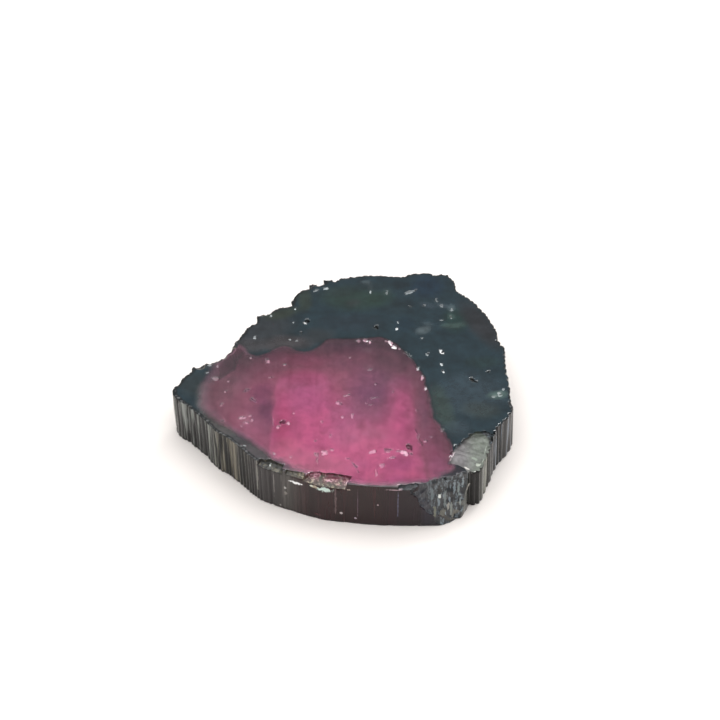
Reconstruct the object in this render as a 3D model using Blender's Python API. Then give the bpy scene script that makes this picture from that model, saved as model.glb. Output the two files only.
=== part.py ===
# Bicolor tourmaline slab: one slice sawn across a ribbed tourmaline crystal, lying on its lower
# sawn face. The origin is the middle of the bottom of its bounding box, +Z points through the
# slice along the crystal, and X runs along its longest width. Lengths are metres; the lists of
# points are millimetres and are turned to metres where they are used.

import math
import random

import bmesh
import bpy
from mathutils import Matrix, Vector, noise

MM = 0.001

# Driving dimensions
SLAB_WIDTH = 26.0 * MM          # longest width, along X
SLAB_THICKNESS = 3.9 * MM       # between the two saw cuts
LEAN = math.radians(1.3)        # how far the crystal's long axis leans from square to the cut

# How finely the edge is drawn
CURVE_STEPS = 8                 # short runs between two neighbouring points of the edge
RIB_STATIONS = (0.0, 0.12, 0.35, 0.65, 0.88)   # places along one rib, 0 is the groove before it
RIB_ROUNDNESS = 2.6             # higher is a flatter crest with a sharper groove
RIB_WIDTH_RANGE = (0.55, 1.5)   # narrowest and widest rib, times the usual width
RIB_DEPTH_RANGE = (0.35, 1.4)
WELD_DISTANCE = 0.001 * MM
SEED = 7

# The edge of the slice, clockwise seen from above, starting at the pointed end at -X. Each
# stretch has its own rib width and groove depth, because the faces of the crystal differ.
EDGE = [
    {   # etched, knobbly back of the pointed end
        "rib": 0.50, "groove": 0.07,
        "points": [
            (-13.0, -1.8), (-12.6, -1.2), (-12.3, -0.5), (-11.8, 0.2), (-11.4, 0.8), (-10.7, 1.2),
            (-10.1, 1.35), (-9.6, 1.6), (-9.2, 2.2), (-8.8, 2.6), (-8.7, 3.5), (-8.3, 4.2),
            (-7.9, 4.9), (-7.7, 5.5), (-7.3, 6.0), (-6.95, 6.3), (-6.95, 7.2), (-6.5, 7.75),
            (-6.1, 7.45), (-5.6, 7.8), (-5.1, 8.2), (-4.3, 8.35), (-4.1, 9.1), (-3.9, 9.8),
            (-3.4, 10.5), (-2.8, 10.7), (-2.6, 11.25), (-2.1, 11.05), (-1.6, 11.35),
            (-1.3, 11.95), (-0.8, 11.65),
        ],
    },
    {   # rounded back, up to the knob at its right end
        "rib": 0.55, "groove": 0.09,
        "points": [
            (-0.2, 12.1), (0.8, 12.3), (2.0, 12.45), (3.2, 12.4), (4.8, 12.3), (5.4, 12.6),
            (6.5, 12.8), (7.1, 12.75), (7.6, 12.45), (8.2, 12.7), (8.65, 12.2), (9.1, 11.5),
            (9.15, 10.5),
        ],
    },
    {   # right side, coarse ribs
        "rib": 0.58, "groove": 0.14,
        "points": [
            (9.8, 9.8), (10.5, 8.9), (11.0, 8.1), (11.6, 6.9), (12.2, 5.2), (12.3, 4.0),
            (12.7, 3.0), (12.75, 2.2), (12.65, 1.2), (12.75, 0.2), (12.85, -1.2), (12.8, -2.6),
            (13.0, -3.9), (12.6, -5.0), (12.1, -5.7), (11.6, -6.5), (11.3, -7.3),
        ],
    },
    {   # stepped corner below the pale scar
        "rib": 0.62, "groove": 0.15,
        "points": [
            (11.1, -8.0), (10.7, -9.1), (10.3, -10.2), (9.9, -10.6), (9.35, -10.7),
        ],
    },
    {   # smooth dark front
        "rib": 1.45, "groove": 0.03,
        "points": [
            (9.15, -11.2), (8.8, -11.85), (8.2, -12.35), (7.2, -12.75), (6.2, -12.8),
            (4.2, -12.8), (2.1, -12.7), (0.3, -12.45), (-1.5, -12.15), (-3.1, -11.55),
        ],
    },
    {   # left front, fine even ribs
        "rib": 0.38, "groove": 0.10,
        "points": [
            (-4.7, -10.85), (-5.8, -10.3), (-6.7, -9.6), (-7.9, -8.2), (-8.7, -7.35),
            (-9.6, -6.6), (-10.7, -5.1), (-12.0, -3.65), (-12.8, -2.7),
        ],
    },
]

# Flakes broken out of the upper rim. Depth is taken at the middle of the outline, and the floor
# drops by the slope towards the given compass direction, 0 at +X and 90 at +Y.
FLAKES = {
    "scar_at_front_right": {
        "outline": [
            (8.0, -9.9), (8.3, -9.0), (8.7, -8.3), (9.4, -7.5), (9.8, -6.95), (10.5, -6.8),
            (11.0, -7.2), (12.4, -8.4), (11.6, -11.6), (9.5, -11.6), (9.0, -10.4),
        ],
        "depth": 0.42, "slope": 6.0, "towards": -40.0,
    },
    "flake_at_front": {
        "outline": [
            (-2.3, -11.0), (-0.8, -11.15), (0.75, -11.5), (0.35, -12.1), (0.2, -13.6),
            (-3.0, -13.2), (-2.9, -11.6),
        ],
        "depth": 0.48, "slope": 14.0, "towards": -100.0,
    },
    "flake_left_of_it": {
        "outline": [(-4.1, -10.75), (-2.7, -11.1), (-2.4, -13.0), (-4.4, -12.4)],
        "depth": 0.45, "slope": 24.0, "towards": -115.0,
    },
    "ledge_at_left_front": {
        "outline": [(-6.0, -9.6), (-5.3, -9.75), (-4.3, -10.35), (-4.5, -11.9), (-6.9, -10.9)],
        "depth": 0.40, "slope": 8.0, "towards": -125.0,
    },
    "step_at_front_rim": {
        "outline": [(4.1, -12.45), (5.5, -12.3), (5.9, -13.6), (3.9, -13.6)],
        "depth": 0.30, "slope": 10.0, "towards": -90.0,
    },
    "notch_at_back_left": {
        "outline": [(-4.4, 8.1), (-3.8, 8.3), (-3.2, 10.4), (-4.3, 10.8), (-5.0, 8.9)],
        "depth": 0.95, "slope": 48.0, "towards": 160.0,
    },
}

# Small knocks and etched hollows around the rim: centre, width and depth
KNOCKS = [
    (-11.3, 0.9, 0.9, 0.22), (-10.3, 1.55, 0.8, 0.25), (-9.4, 2.2, 0.6, 0.20),
    (-8.9, 3.4, 0.7, 0.28), (-7.3, 6.4, 0.5, 0.25), (-6.6, 7.9, 1.0, 0.45),
    (-5.5, 8.4, 0.7, 0.25), (-2.6, 11.5, 0.8, 0.20), (-1.3, 12.2, 0.8, 0.20),
    (0.1, 12.5, 0.7, 0.22), (8.3, 13.1, 1.0, 0.30), (9.5, 11.3, 0.8, 0.22),
    (11.0, 9.0, 0.6, 0.20), (13.1, 2.0, 0.7, 0.30), (13.1, -3.6, 0.6, 0.35),
    (12.3, -6.3, 0.6, 0.25),
]

# The broken corner at the front: a rough face that leans in from the bottom edge to the top one
BREAK_TOP = (Vector((9.7, -10.55)), Vector((4.9, -12.75)))
BREAK_BOTTOM = (Vector((9.6, -11.75)), Vector((4.9, -13.6)))
BREAK_ROUGHNESS = 0.26 * MM
BREAK_GRAIN = 0.8 * MM          # size of the lumps on the broken face
BREAK_CUTS = 15
BREAK_LENGTH = 9.0 * MM         # the cutting block reaches past both ends of the broken face
BREAK_BLOCK = 4.0 * MM
KNOCK_ROUGHNESS = 0.22          # of a knock's own radius


def clear_scene():
    for item in list(bpy.data.objects):
        bpy.data.objects.remove(item, do_unlink=True)


def new_collection(name):
    collection = bpy.data.collections.new(name)
    bpy.context.scene.collection.children.link(collection)
    return collection


def between(before, start, end, after, t):
    """A point on the smooth curve (Catmull-Rom) from start to end."""
    return 0.5 * (
        2.0 * start
        + (end - before) * t
        + (2.0 * before - 5.0 * start + 4.0 * end - after) * t ** 2
        + (3.0 * start - before - 3.0 * end + after) * t ** 3
    )


def smooth_edge():
    """The edge without its ribs, as (point, stretch) pairs in millimetres."""
    marks = [(Vector(point), stretch) for stretch in EDGE for point in stretch["points"]]
    edge = []
    for i, (start, stretch) in enumerate(marks):
        before = marks[i - 1][0]
        end = marks[(i + 1) % len(marks)][0]
        after = marks[(i + 2) % len(marks)][0]
        for step in range(CURVE_STEPS):
            edge.append((between(before, start, end, after, step / CURVE_STEPS), stretch))
    return edge


def ribbed_edge():
    """The edge with its ribs, in metres, centred on the origin. Its width and the sideways shift
    of the leaning sides add up to SLAB_WIDTH."""
    chance = random.Random(SEED)
    edge = smooth_edge()
    points = []
    walked = 0.0                # length since the last groove
    width = edge[0][1]["rib"]
    depth = edge[0][1]["groove"]
    station = 0
    for i, (start, stretch) in enumerate(edge):
        end = edge[(i + 1) % len(edge)][0]
        run = (end - start).length
        outward = Vector((start.y - end.y, end.x - start.x)).normalized()
        done = 0.0
        while True:
            share = RIB_STATIONS[station]
            ahead = share * width - walked
            if done + ahead > run:
                break
            done += max(ahead, 0.0)
            walked = share * width
            crest = 1.0 - abs(2.0 * share - 1.0) ** RIB_ROUNDNESS
            points.append(start.lerp(end, done / run) + outward * depth * (crest - 1.0))
            station += 1
            if station == len(RIB_STATIONS):
                station = 0
                walked -= width
                width = stretch["rib"] * chance.uniform(*RIB_WIDTH_RANGE)
                depth = stretch["groove"] * chance.uniform(*RIB_DEPTH_RANGE)
        walked += run - done
    low = Vector((min(p.x for p in points), min(p.y for p in points)))
    high = Vector((max(p.x for p in points), max(p.y for p in points)))
    scale = (SLAB_WIDTH - SLAB_THICKNESS * math.tan(LEAN)) / (high.x - low.x)
    middle = (low + high) / 2.0
    return [(p - middle) * scale for p in points]


def flat_solid(name, outline, thickness, collection):
    """A plate with the given outline, its mid-plane at z = 0."""
    curve = bpy.data.curves.new(name + "_outline", "CURVE")
    curve.dimensions = "2D"
    curve.fill_mode = "BOTH"
    curve.extrude = thickness / 2.0
    spline = curve.splines.new("POLY")
    spline.points.add(len(outline) - 1)
    for spline_point, point in zip(spline.points, outline):
        spline_point.co = (point.x, point.y, 0.0, 1.0)
    spline.use_cyclic_u = True
    drawn = bpy.data.objects.new(name + "_outline", curve)
    collection.objects.link(drawn)
    evaluated = drawn.evaluated_get(bpy.context.evaluated_depsgraph_get())
    mesh = bpy.data.meshes.new_from_object(evaluated)
    mesh.name = name
    work = bmesh.new()
    work.from_mesh(mesh)
    bmesh.ops.remove_doubles(work, verts=work.verts, dist=WELD_DISTANCE)
    bmesh.ops.recalc_face_normals(work, faces=work.faces)
    work.to_mesh(mesh)
    work.free()
    solid = bpy.data.objects.new(name, mesh)
    solid.matrix_world = drawn.matrix_world
    collection.objects.link(solid)
    bpy.data.objects.remove(drawn, do_unlink=True)
    return solid


def make_slab(collection):
    slab = flat_solid("tourmaline_slab", ribbed_edge(), SLAB_THICKNESS, collection)
    lean = Matrix.Shear("XY", 4, (-math.tan(LEAN), 0.0))
    raise_it = Matrix.Translation((0.0, 0.0, SLAB_THICKNESS / 2.0))
    slab.data.transform(raise_it @ lean)
    return slab


def make_flake(name, flake, collection):
    """A plate that takes a shallow flake off the upper rim, with its floor on a slope."""
    outline = [Vector(point) * MM for point in flake["outline"]]
    middle = sum(outline, Vector((0.0, 0.0))) / len(outline)
    height = SLAB_THICKNESS
    cutter = flat_solid(name, [point - middle for point in outline], height, collection)
    turn = Matrix.Rotation(math.radians(flake["towards"]), 4, "Z")
    tip = turn @ Matrix.Rotation(math.radians(flake["slope"]), 4, "Y") @ turn.inverted()
    floor = SLAB_THICKNESS - flake["depth"] * MM
    floor_down = Matrix.Translation((0.0, 0.0, height / 2.0))
    cutter.matrix_world = Matrix.Translation((middle.x, middle.y, floor)) @ tip @ floor_down
    return cutter


def lump(place):
    """A smooth random step, the same each time for the same place."""
    return Vector([noise.noise(place + Vector((shift, 0.0, 0.0))) for shift in (0.0, 31.7, 67.3)])


def roughen(work, amount, grain, offset):
    """Move each point by smooth noise, so a cutter leaves a broken face."""
    for vert in work.verts:
        vert.co += lump(vert.co / grain + offset) * amount


def new_cutter(name, work, collection):
    mesh = bpy.data.meshes.new(name)
    work.to_mesh(mesh)
    work.free()
    cutter = bpy.data.objects.new(name, mesh)
    collection.objects.link(cutter)
    return cutter


def make_knock(index, knock, collection):
    """A rough ball, flattened and sunk in the rim, for one small knock."""
    x, y, width, depth = knock
    radius = width * MM
    work = bmesh.new()
    bmesh.ops.create_icosphere(work, subdivisions=2, radius=radius)
    roughen(work, radius * KNOCK_ROUGHNESS, radius * 0.8, Vector((index * 3.1, 0.0, 0.0)))
    cutter = new_cutter(f"knock_{index + 1:02d}", work, collection)
    cutter.location = (x * MM, y * MM, SLAB_THICKNESS + radius - depth * MM)
    cutter.rotation_euler = (0.0, 0.0, index * 1.3)
    return cutter


def make_corner_break(collection):
    """A rough block that leaves the leaning broken face at the front right corner."""
    top = (BREAK_TOP[0] + BREAK_TOP[1]).to_3d() / 2.0 * MM
    bottom = (BREAK_BOTTOM[0] + BREAK_BOTTOM[1]).to_3d() / 2.0 * MM
    top.z = SLAB_THICKNESS
    along = (BREAK_TOP[0] - BREAK_TOP[1]).to_3d().normalized()
    outward = along.cross(top - bottom).normalized()
    up = outward.cross(along)
    work = bmesh.new()
    bmesh.ops.create_cube(work, size=1.0)
    bmesh.ops.subdivide_edges(work, edges=work.edges, cuts=BREAK_CUTS, use_grid_fill=True)
    bmesh.ops.scale(work, vec=(BREAK_LENGTH, BREAK_BLOCK, 2.0 * SLAB_THICKNESS), verts=work.verts)
    roughen(work, BREAK_ROUGHNESS, BREAK_GRAIN, Vector((5.0, 2.0, 9.0)))
    cutter = new_cutter("corner_break", work, collection)
    middle = (top + bottom) / 2.0 + outward * BREAK_BLOCK / 2.0
    basis = Matrix((along, up.cross(along), up)).transposed().to_4x4()
    cutter.matrix_world = Matrix.Translation(middle) @ basis
    return cutter


def cut(slab, cutter):
    cutter.hide_render = True
    cutter.display_type = "WIRE"
    boolean = slab.modifiers.new(cutter.name, "BOOLEAN")
    boolean.operation = "DIFFERENCE"
    boolean.solver = "EXACT"
    boolean.object = cutter


def tourmaline_material():
    """The crystal's two colours meet inside one piece, so it has their middle value here."""
    material = bpy.data.materials.new("tourmaline")
    material.use_nodes = True
    shader = material.node_tree.nodes["Principled BSDF"]
    shader.inputs["Base Color"].default_value = (0.13, 0.055, 0.075, 1.0)
    shader.inputs["Roughness"].default_value = 0.18
    shader.inputs["Metallic"].default_value = 0.0
    shader.inputs["IOR"].default_value = 1.63
    return material


def main():
    clear_scene()
    parts = new_collection("bicolor_tourmaline_slab")
    cutters = new_collection("cutters")
    slab = make_slab(parts)
    slab.data.materials.append(tourmaline_material())
    for name, flake in FLAKES.items():
        cut(slab, make_flake(name, flake, cutters))
    for index, knock in enumerate(KNOCKS):
        cut(slab, make_knock(index, knock, cutters))
    cut(slab, make_corner_break(cutters))


main()
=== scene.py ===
import math
import random
from functools import partial

import bmesh
import bpy
import numpy as np
from mathutils import Matrix, Vector, noise
from mathutils.kdtree import KDTree


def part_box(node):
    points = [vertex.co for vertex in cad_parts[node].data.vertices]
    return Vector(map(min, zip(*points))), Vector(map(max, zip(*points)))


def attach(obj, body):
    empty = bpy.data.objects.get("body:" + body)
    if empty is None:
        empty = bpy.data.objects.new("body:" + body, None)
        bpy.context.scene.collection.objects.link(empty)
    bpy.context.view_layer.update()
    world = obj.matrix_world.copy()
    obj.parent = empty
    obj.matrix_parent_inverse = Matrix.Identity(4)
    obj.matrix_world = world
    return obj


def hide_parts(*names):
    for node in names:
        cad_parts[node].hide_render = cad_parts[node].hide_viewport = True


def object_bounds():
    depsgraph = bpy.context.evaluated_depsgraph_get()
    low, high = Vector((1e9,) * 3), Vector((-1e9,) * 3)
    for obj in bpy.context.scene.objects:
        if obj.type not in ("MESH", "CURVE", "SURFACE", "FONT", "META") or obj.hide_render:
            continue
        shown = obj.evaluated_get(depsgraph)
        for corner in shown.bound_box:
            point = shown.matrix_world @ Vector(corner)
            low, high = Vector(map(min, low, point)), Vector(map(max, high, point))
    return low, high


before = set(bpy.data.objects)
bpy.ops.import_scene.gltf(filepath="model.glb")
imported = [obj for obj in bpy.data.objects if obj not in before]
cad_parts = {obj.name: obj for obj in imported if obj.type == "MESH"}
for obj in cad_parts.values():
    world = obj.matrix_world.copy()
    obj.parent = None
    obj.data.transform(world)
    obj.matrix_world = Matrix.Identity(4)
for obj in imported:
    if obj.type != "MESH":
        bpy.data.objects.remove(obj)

mm = 0.001
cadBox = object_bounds()
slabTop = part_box("tourmaline_slab")[1].z


def toLinear(hexColour):
    # sRGB hex to the linear values that shaders and lights use
    channels = [int(hexColour[i:i + 2], 16) / 255.0 for i in (1, 3, 5)]
    linear = [c / 12.92 if c <= 0.04045 else ((c + 0.055) / 1.055) ** 2.4 for c in channels]
    return (*linear, 1.0)


def addNode(tree, kind, inputs=None, result=0, **settings):
    # adds one node: settings are its own properties, inputs take a link, a value or a hex colour,
    # and what comes back is one of its outputs
    node = tree.nodes.new("ShaderNode" + kind)
    for name, value in settings.items():
        setattr(node, name, value)
    for name, value in (inputs or {}).items():
        if isinstance(value, bpy.types.NodeSocket):
            tree.links.new(value, node.inputs[name])
        else:
            node.inputs[name].default_value = toLinear(value) if isinstance(value, str) else value
    return node.outputs[result] if node.outputs else None


# settings that repeat; a Mix node's socket 0 takes the share, 6 and 7 the two colours
mixed = {"result": 2, "data_type": "RGBA"}
eased = {"interpolation_type": "SMOOTHSTEP"}


def newMaterial(name):
    # an empty material, what adds a node to it, and the place on the piece in millimetres
    material = bpy.data.materials.new(name)
    material.use_nodes = True
    material.node_tree.nodes.clear()
    add = partial(addNode, material.node_tree)
    here = add("TexCoord", result="Object")
    return material, add, add("Mapping", {"Vector": here, "Scale": (1 / mm, 1 / mm, 1 / mm)})


def newObject(name, data, place=(0, 0, 0), way=None):
    # puts an object in the scene; a lamp or camera looks the given way
    made = bpy.data.objects.new(name, data)
    made.location = place
    if way:
        made.rotation_mode = "QUATERNION"
        made.rotation_quaternion = way.to_track_quat("-Z", "Y")
    bpy.context.scene.collection.objects.link(made)
    return made


def newPiece(name, work):
    mesh = bpy.data.meshes.new(name)
    work.to_mesh(mesh)
    work.free()
    return newObject(name, mesh)


def fractal(place, octaves=3):
    # smooth noise with finer and finer detail, about -1 to 1
    return sum(noise.noise(place * 2 ** i + Vector((i * 17.0, 0.0, 0.0))) / 2 ** i for i in range(octaves))


def smoothLoop(points, steps=8):
    # a closed smooth curve (Catmull-Rom) through given points, as an array
    p = np.array(points, float)
    before, after, last = np.roll(p, 1, 0), np.roll(p, -1, 0), np.roll(p, -2, 0)
    runs = []
    for t in np.arange(steps) / steps:
        runs.append(0.5 * (2 * p + (after - before) * t + (2 * before - 5 * p + 4 * after - last) * t ** 2
                           + (3 * p - before - 3 * after + last) * t ** 3))
    return np.stack(runs, 1).reshape(-1, p.shape[1])


def loopDistance(places, loop):
    # how far each place is inside a closed loop (less than 0 outside), and the loop's third value,
    # if it has one, at the nearest point
    best = np.full(len(places), 1e9)
    third = np.zeros(len(places))
    inside = np.zeros(len(places), bool)
    for a, b in zip(loop, np.roll(loop, -1, 0)):
        along = b - a
        share = np.clip(((places - a[:2]) @ along[:2]) / max(along[:2] @ along[:2], 1e-12), 0.0, 1.0)
        gap = places - (a[:2] + share[:, None] * along[:2])
        distance = np.hypot(gap[:, 0], gap[:, 1])
        closer = distance < best
        best[closer] = distance[closer]
        third[closer] = a[-1] + share[closer] * along[-1]
        if a[1] != b[1]:
            crosses = (a[1] > places[:, 1]) != (b[1] > places[:, 1])
            meets = a[0] + (places[:, 1] - a[1]) / (b[1] - a[1]) * along[0]
            inside ^= crosses & (places[:, 0] < meets)
    return np.where(inside, best, -best), third


# The slab: the CAD slice cut finer, with uneven sides, broken faces and small pits. Lengths in its
# tables are millimetres on the upper face, seen from above, and turns are degrees.
slab = {
    "node": "tourmaline_slab",
    "topStep": 0.2, "bottomStep": 0.6,    # fineness of the two sawn faces
    "layerStep": 0.26,              # fineness of the sides, from bottom to top
    "rimLayers": (0.05, 0.12),      # extra cuts this far below the upper rim
    "sawnWithin": 0.01, "sideWithin": 0.35,     # how far off a sawn face or a grown side may lie
    "steepest": 0.035,              # how far from upright a grown side may lean
    "sharpAngle": 34.0,             # smaller bends are shaded smooth
    "ribDepth": 0.085,              # fine ribs on the sides, on top of the slice's own
    "ribWidth": 0.8,
    "smoothRibDepth": 0.008,        # the same on the smooth front
    "smoothFrom": (-8.0, -8.4), "smoothOver": (3.5, 1.8),   # where that front starts, along x and y
    "knobs": [                      # x, y, radius, height: lumps that stand out from the sides
        (-6.4, 7.3, 0.7, 0.28), (-2.6, 11.1, 0.55, 0.22), (-1.4, 11.7, 0.6, 0.26), (-11.6, 0.6, 0.45, 0.14),
        (-10.2, 1.2, 0.45, 0.13), (-8, 5.6, 0.5, 0.14), (8.2, 12.3, 0.5, 0.18), (-4.2, 8.9, 0.5, 0.14),
        (-12.6, -2.8, 1.4, 0.12),
    ],
    "brokenRoughness": 0.055,       # on the scar, flakes and broken corner
    "brokenGrain": 0.3,
    "brokenEdge": 0.14,             # longest edge left on a broken face
    "cornerFlutes": 0.11,           # depth of the splintery flutes down the broken corner
    "cornerStart": 3.3,             # breaks right of this x are the corner, left of it flakes
    "flakeSoftening": 7,            # rounds of smoothing that make the flakes shell-shaped
    "raggedEdge": 0.09,             # how far the borders of the breaks stray
    "raggedGrain": 0.55,
    "raggedReach": 0.8, "raggedFade": 0.6,
    "scarMiddle": (9.6, -8.6, 3.8), "scarReach": 3.6, "scarSpread": 0.26,   # the scar is pulled wider
    "rimWear": 0.022,               # nibbles along the upper and lower rim
    "rimGrain": 0.16,
    "wander": 0.16, "wanderGrain": 1.1,     # how far colour borders stray from their outlines
    "lean": 1.8,                    # how much wider the pink is on the lower face
    "deepHeart": 0.9, "deepOthers": 0.4,    # how much wider its colour borders are
    "roseEarly": 0.6,               # how much sooner the pink starts where its border is soft
    "crispBorder": 0.12,            # a border this wide or less isn't soft
    # pits: x, y, length, width, turn, depth, tone (1 crushed white, partly a painted glint; 0 clear; -1 dark,
    # painted shade); a pit has one bowl, and one more for each bowlArea in it and each bowlLength widths of
    # its length
    "pitSeed": 5, "mostBowls": 5, "bowlArea": 0.03, "bowlLength": 3.0,
    "pits": [
        # along the border of the pink
        (1.16, 3.9, 0.4, 0.28, 0, 0.08, 0.4), (1.72, 3.94, 0.4, 0.36, 10, 0.1, 1),
        (2.07, 3.76, 0.27, 0.28, -20, 0.1, 0.9), (3.35, 3.92, 0.32, 0.15, -5, 0.06, 0.5),
        (3.72, 3.6, 0.34, 0.56, 20, 0.12, 1), (4.02, 3.06, 0.46, 0.54, 30, 0.16, 1),
        (4.37, 2.96, 0.22, 0.18, 0, 0.06, 0.6), (5, 2.2, 1.3, 0.07, -60, 0.05, 0.45),
        (5.81, 0.48, 0.44, 0.2, 80, 0.12, 0.95), (6.08, -0.53, 0.75, 0.22, 97, 0.12, 1),
        (6.3, -1.81, 0.38, 0.17, 80, 0.1, 0.95), (-7.25, 1.84, 0.2, 0.16, 0, 0.08, 0.7),
        (-5.92, 1.41, 0.46, 0.42, 0, 0.1, 0.6), (-4.59, 0.97, 0.3, 0.14, 0, 0.06, 0.3),
        # in the rim
        (6.55, 2.33, 0.42, 0.18, 80, 0.12, 0.9), (7.69, 2.58, 0.46, 0.42, -10, 0.14, 1),
        (7.68, 1.01, 0.28, 0.3, 10, 0.1, 0.9), (7.72, 0.25, 0.26, 0.32, 30, 0.1, 0.9),
        (4.18, 5.44, 0.24, 0.26, 0, 0.1, 0.95), (4.31, 6.23, 0.12, 0.22, 0, 0.06, 0.6),
        (2.62, 5.68, 0.46, 0.44, 40, 0.25, -1), (-2.9, 6.44, 0.5, 0.46, 0, 0.35, -1),
        (-3.12, 6.2, 0.46, 0.22, -50, 0.1, 0.9), (-1.5, 10.6, 0.62, 0.28, 15, 0.08, 0.7),
        (-2.31, 10.33, 0.4, 0.16, 10, 0.06, 0.4), (2.12, 10.14, 0.14, 0.36, 0, 0.06, 0.65),
        (3.47, 10.08, 0.24, 0.36, 0, 0.05, 0.25), (-3.36, 4.96, 0.14, 0.3, 0, 0.1, -0.6),
        (-4.04, 6.23, 0.16, 0.14, 0, 0.05, 0.4), (-5.87, 7.02, 0.26, 0.28, 0, 0.06, 0.5),
        (-4.25, 4.12, 0.2, 0.18, 0, 0.05, 0.4), (-3.72, 3.94, 0.2, 0.14, 20, 0.05, 0.35),
        (-3.93, 7.95, 0.15, 0.18, 0, 0.06, 0.8), (-7.03, 4.36, 0.32, 0.32, 0, 0.08, 0.6),
        (5.38, 10.14, 0.95, 0.3, 15, 0.08, 0.45), (5.76, 10.36, 0.34, 0.22, 25, 0.09, 0.75),
        (5.32, 8.33, 0.24, 0.22, 0, 0.06, 0.5), (6.44, 8.45, 0.3, 0.12, -30, 0.05, 0.4),
        (7.51, 9.03, 0.5, 0.18, -50, 0.06, 0.25), (7.81, 8.33, 0.42, 0.18, -30, 0.06, 0.35),
        (8.66, 7.93, 0.24, 0.4, 0, 0.06, 0.4), (8.55, 6.89, 0.24, 0.28, 0, 0.06, 0.4),
        (7.82, 6.53, 0.26, 0.1, 0, 0.05, 0.3), (6.19, 4.24, 0.12, 0.12, 0, 0.05, 0.4),
        (9.95, -0.8, 0.95, 0.3, -28, 0.25, -1), (11.2, 0.2, 0.34, 0.2, 10, 0.14, -0.7),
        (12, -2.5, 0.5, 0.4, 0, 0.08, 0.5), (11.4, -2.8, 0.4, 0.2, 10, 0.06, 0.3),
        (12.25, -1.9, 0.26, 0.3, 0, 0.06, 0.5), (-10.35, 0.91, 0.45, 0.14, 0, 0.06, 0.5),
        (-9.79, 0.79, 0.16, 0.16, 0, 0.06, 0.5), (-10.54, 0.05, 0.42, 0.12, 20, 0.05, 0.4),
        (-9.83, -0.68, 0.55, 0.3, 0, 0.05, 0.3),
        # left of the clear pink
        (-8.86, -0.98, 0.16, 0.14, 0, 0.05, 0.5), (-9.04, -2.19, 0.18, 0.14, 0, 0.05, 0.5),
        (-7.36, -2.01, 0.62, 0.3, 0, 0.1, -0.65), (-6.84, -3.2, 0.8, 0.24, -40, 0.1, -0.6),
        (-9.23, -3.73, 0.24, 0.34, 0, 0.08, -0.5), (-7.57, -5.19, 0.6, 0.34, 0, 0.06, 0.5),
        (-7.05, -4.95, 0.34, 0.2, 30, 0.05, 0.4), (-7.3, -5.75, 0.5, 0.18, -20, 0.05, 0.4),
        (-6.82, -5.42, 0.28, 0.28, 0, 0.06, 0.35), (-7.6, -6.11, 0.16, 0.16, 0, 0.06, -0.4),
        (-9.05, -5.54, 0.45, 0.09, 0, 0.08, -0.5), (-7.24, -8.27, 0.3, 0.11, -20, 0.06, 0.5),
        (-5.65, -0.5, 0.3, 0.11, 0, 0.05, 0.3), (-5.25, -5.5, 0.09, 1.2, 3, 0.06, -0.55),
        # in the clear pink
        (-4.47, -5.65, 0.62, 0.46, -40, 0.34, -1), (-4.16, -5.84, 0.4, 0.3, 35, 0.12, 0.8),
        (-4.91, -6.28, 0.28, 0.32, 0, 0.07, 0.6), (-3.72, -4.67, 0.16, 0.16, 0, 0.05, 0.4),
        (-2.05, -7.8, 0.3, 0.13, 0, 0.08, -0.6), (0.49, 1.85, 0.2, 0.16, 0, 0.05, 0.35),
        (2.09, 0.38, 0.5, 0.09, 25, 0.05, 0.35), (2.46, -1.34, 0.13, 0.13, 0, 0.05, 0.5),
        (0.26, -2.64, 0.5, 0.14, 20, 0.06, 0.5), (-0.36, -3.52, 0.5, 0.44, 30, 0.08, 0.65),
        (2.41, -2.89, 0.7, 0.09, 15, 0.05, 0.35), (1.75, -3.52, 0.15, 0.14, 0, 0.06, -0.5),
        (-0.06, -5.13, 0.28, 0.32, 0, 0.06, 0.45), (0.7, -5.07, 0.9, 0.15, 88, 0.06, 0.5),
        (3.79, -2.19, 0.14, 0.24, 0, 0.06, -0.4), (2.08, -3.71, 0.5, 0.08, 5, 0.05, 0.3),
        (-1.57, -5.69, 0.14, 0.3, 0, 0.06, -0.3), (-0.94, -7.27, 0.22, 0.38, 0, 0.08, -0.5),
        (-0.8, -8.76, 0.3, 0.2, 10, 0.06, 0.45), (-1.36, -9.06, 0.56, 0.42, 20, 0.08, 0.6),
        (-1.94, -9.2, 0.4, 0.56, 20, 0.12, -0.7), (-1.86, -9.94, 0.12, 0.6, 0, 0.08, -0.45),
        (2.18, -9, 0.56, 0.42, 0, 0.07, 0.55), (3.42, -8.74, 0.8, 0.26, 0, 0.12, -0.75),
        (3.37, -8.98, 0.5, 0.16, 0, 0.06, 0.4), (4.92, -8.52, 0.85, 0.36, -62, 0.25, -1),
        (4.54, -9.17, 0.62, 0.54, 0, 0.1, 0.8), (4.1, -8.9, 0.4, 0.3, 20, 0.08, -0.6),
        (5.06, -9.25, 0.3, 0.18, -15, 0.1, -0.7), (3.63, -9.6, 0.46, 0.22, 0, 0.06, 0.4),
        (0.39, -9.72, 0.3, 0.14, -30, 0.08, -0.45), (0.86, -10.35, 0.9, 0.14, -62, 0.08, -0.7),
        (1.1, -11, 0.6, 0.12, -80, 0.08, -0.6), (2.87, -10.49, 0.46, 0.34, 0, 0.06, 0.3),
        (2.49, -11.25, 0.2, 0.6, 0, 0.06, 0.4), (-3.83, -9.55, 0.2, 0.18, 0, 0.05, 0.4),
        (-5.05, -9.22, 0.2, 0.22, 0, 0.06, 0.5), (6.14, -7.81, 0.26, 0.22, 0, 0.06, 0.4),
        (6.6, -7.33, 0.16, 0.15, 0, 0.06, -0.4), (5.62, -7.5, 2.3, 0.08, -84, 0.06, -0.5),
        (7.43, -6.66, 0.3, 0.18, 30, 0.05, 0.25), (5.53, -4.33, 0.3, 0.09, 90, 0.06, -0.4),
        # nicks along the scar's upper edge, dark as the painted shadow line of its step
        (8.02, -8.95, 0.5, 0.16, 60, 0.12, -0.95), (8.4, -8.38, 0.55, 0.13, 50, 0.12, -0.9),
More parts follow.
